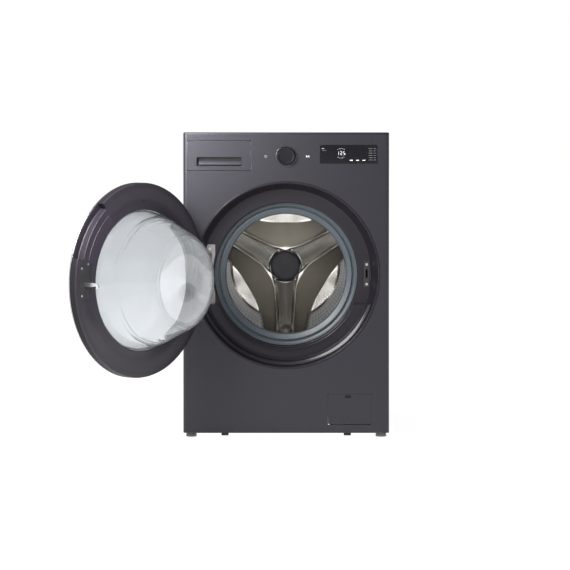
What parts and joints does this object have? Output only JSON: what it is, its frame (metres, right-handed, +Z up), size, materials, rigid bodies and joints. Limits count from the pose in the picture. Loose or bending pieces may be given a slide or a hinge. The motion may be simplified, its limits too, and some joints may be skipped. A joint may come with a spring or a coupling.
{
  "type": "front load washing machine",
  "caption": "Front load washing machine with a round glass door that stands open, a pressed steel drum, a detergent drawer, a programme dial and a display.",
  "frame": {"origin": "on the floor, under the middle of the cabinet's width and depth", "axes": "-Y is the front, where the door is; +X is the machine's right as seen from the front; +Z is up"},
  "size_m": [1.0091, 1.259, 1.015],
  "materials": {
    "body_paint": "dark grey metallic paint, satin",
    "zinc_steel": "plated steel",
    "galvanised": "galvanised sheet steel",
    "surround_plastic": "near-black semi-gloss moulding",
    "black_plastic": "fine matte texture",
    "hinge_casting": "fine cast texture, satin",
    "board_plastic": "plain matte",
    "display_gloss": "gloss black window",
    "bright_trim": "satin chrome",
    "white_plastic": "plain matte",
    "black_rubber": "matte rubber",
    "grey_plastic": "plain matte",
    "foot_plastic": "matte, moulded",
    "tub_plastic": "plain matte",
    "counterweight": "dense moulded weight, matte",
    "gasket_rubber": "grey-blue rubber, smooth",
    "motor_windings": "windings in resin",
    "drum_steel": "stainless steel, pressed and polished",
    "cast_aluminium": "cast, matte",
    "hub_plastic": "dark grey, fine matte",
    "rotor_steel": "pressed steel",
    "door_plastic": "dark grey semi-gloss moulding",
    "tinted_glass": "clear cover with a pale tint",
    "bowl_glass": "clear pressed glass",
    "knob_metal": "dark anodised, spun"
  },
  "bodies": {
    "cabinet": {"side_panel_left": "body_paint", "side_panel_right": "body_paint", "rear_panel": "body_paint", "rear_access_panel": "body_paint", "rear_panel_screws": "zinc_steel", "top_panel": "body_paint", "spring_beam": "galvanised", "base_frame": "galvanised", "front_panel": "body_paint", "door_surround": "surround_plastic", "surround_lower_trim": "surround_plastic", "door_lock": "black_plastic", "surround_screws": "zinc_steel", "hinge_bracket": "hinge_casting", "control_board": "board_plastic", "display_window": "display_gloss", "dial_bezel": "bright_trim", "dispenser_housing": "white_plastic", "inlet_valves": "white_plastic", "fill_hose": "black_rubber", "drain_pump": "white_plastic", "drain_hose_inner": "grey_plastic", "power_gland": "black_plastic", "foot_locknuts": "zinc_steel", "base_bumpers": "black_rubber", "transit_hole_caps": "grey_plastic", "damper_cylinders": "black_plastic", "suspension_springs": "zinc_steel"},
    "foot_fl": {"foot_front_left": "foot_plastic"},
    "foot_fr": {"foot_front_right": "foot_plastic"},
    "foot_rl": {"foot_rear_left": "foot_plastic"},
    "foot_rr": {"foot_rear_right": "foot_plastic"},
    "tub": {"front_tub": "tub_plastic", "rear_tub": "tub_plastic", "tub_clamp_screws": "zinc_steel", "counterweights": "counterweight", "door_gasket": "gasket_rubber", "sump_hose": "black_rubber", "damper_rods": "zinc_steel", "stator": "motor_windings", "bearings": "zinc_steel"},
    "drum": {"drum_shell": "drum_steel", "drum_back": "drum_steel", "drum_front_ring": "drum_steel", "drum_lifters": "drum_steel", "drum_spider": "cast_aluminium", "drive_shaft": "zinc_steel", "hub_cap": "hub_plastic", "rotor": "rotor_steel"},
    "door": {"door_inner_frame": "door_plastic", "door_outer_frame": "bright_trim", "door_outer_glass": "tinted_glass", "door_glass_bowl": "bowl_glass", "door_hinge_leaf": "hinge_casting"},
    "latch": {"latch_hook": "zinc_steel"},
    "drawer": {"drawer_front": "body_paint", "drawer_tray": "white_plastic"},
    "dial": {"dial_knob": "knob_metal"},
    "filter_door": {"filter_cover": "body_paint"},
    "filter": {"pump_filter": "grey_plastic"}
  },
  "joints": [
    {"name": "door_swing", "type": "hinge", "parent": "cabinet", "child": "door", "pos_m": [-0.2925, -0.381, 0.54], "axis": [0, 0, 1], "range_deg": [0, 127]},
    {"name": "latch_pivot", "type": "hinge", "parent": "door", "child": "latch", "pos_m": [-0.62623, -0.83384, 0.54], "axis": [-0.6018, -0.7986, 0], "range_deg": [0, 6], "stiffness_Nm_per_rad": 0.6, "springref_deg": -5.73},
    {"name": "drawer_slide", "type": "slide", "parent": "cabinet", "child": "drawer", "axis": [0, -1, 0], "range_m": [0, 0.26]},
    {"name": "dial_turn", "type": "hinge", "parent": "cabinet", "child": "dial", "pos_m": [0, -0.36, 0.936], "axis": [0, 1, 0], "continuous": true},
    {"name": "tub_bounce", "type": "slide", "parent": "cabinet", "child": "tub", "axis": [0, 0, 1], "range_m": [-0.006, 0.006], "stiffness_N_per_m": 60000, "deforming": ["suspension_springs", "door_gasket", "sump_hose"]},
    {"name": "drum_spin", "type": "hinge", "parent": "tub", "child": "drum", "pos_m": [0, -0.36, 0.54], "axis": [0, 1, 0], "continuous": true},
    {"name": "filter_cover_swing", "type": "hinge", "parent": "cabinet", "child": "filter_door", "pos_m": [0.2106, -0.3555, 0.0475], "axis": [1, 0, 0], "range_deg": [0, 85]},
    {"name": "pump_filter_turn", "type": "hinge", "parent": "cabinet", "child": "filter", "pos_m": [0.2106, -0.34, 0.092], "axis": [0, 1, 0], "range_deg": [-90, 90]},
    {"name": "foot_turn_fl", "type": "hinge", "parent": "cabinet", "child": "foot_fl", "pos_m": [-0.317, -0.325, 0.004], "axis": [0, 0, 1], "continuous": true},
    {"name": "foot_turn_fr", "type": "hinge", "parent": "cabinet", "child": "foot_fr", "pos_m": [0.317, -0.325, 0.004], "axis": [0, 0, 1], "continuous": true},
    {"name": "foot_turn_rl", "type": "hinge", "parent": "cabinet", "child": "foot_rl", "pos_m": [-0.317, 0.325, 0.004], "axis": [0, 0, 1], "continuous": true},
    {"name": "foot_turn_rr", "type": "hinge", "parent": "cabinet", "child": "foot_rr", "pos_m": [0.317, 0.325, 0.004], "axis": [0, 0, 1], "continuous": true}
  ]
}
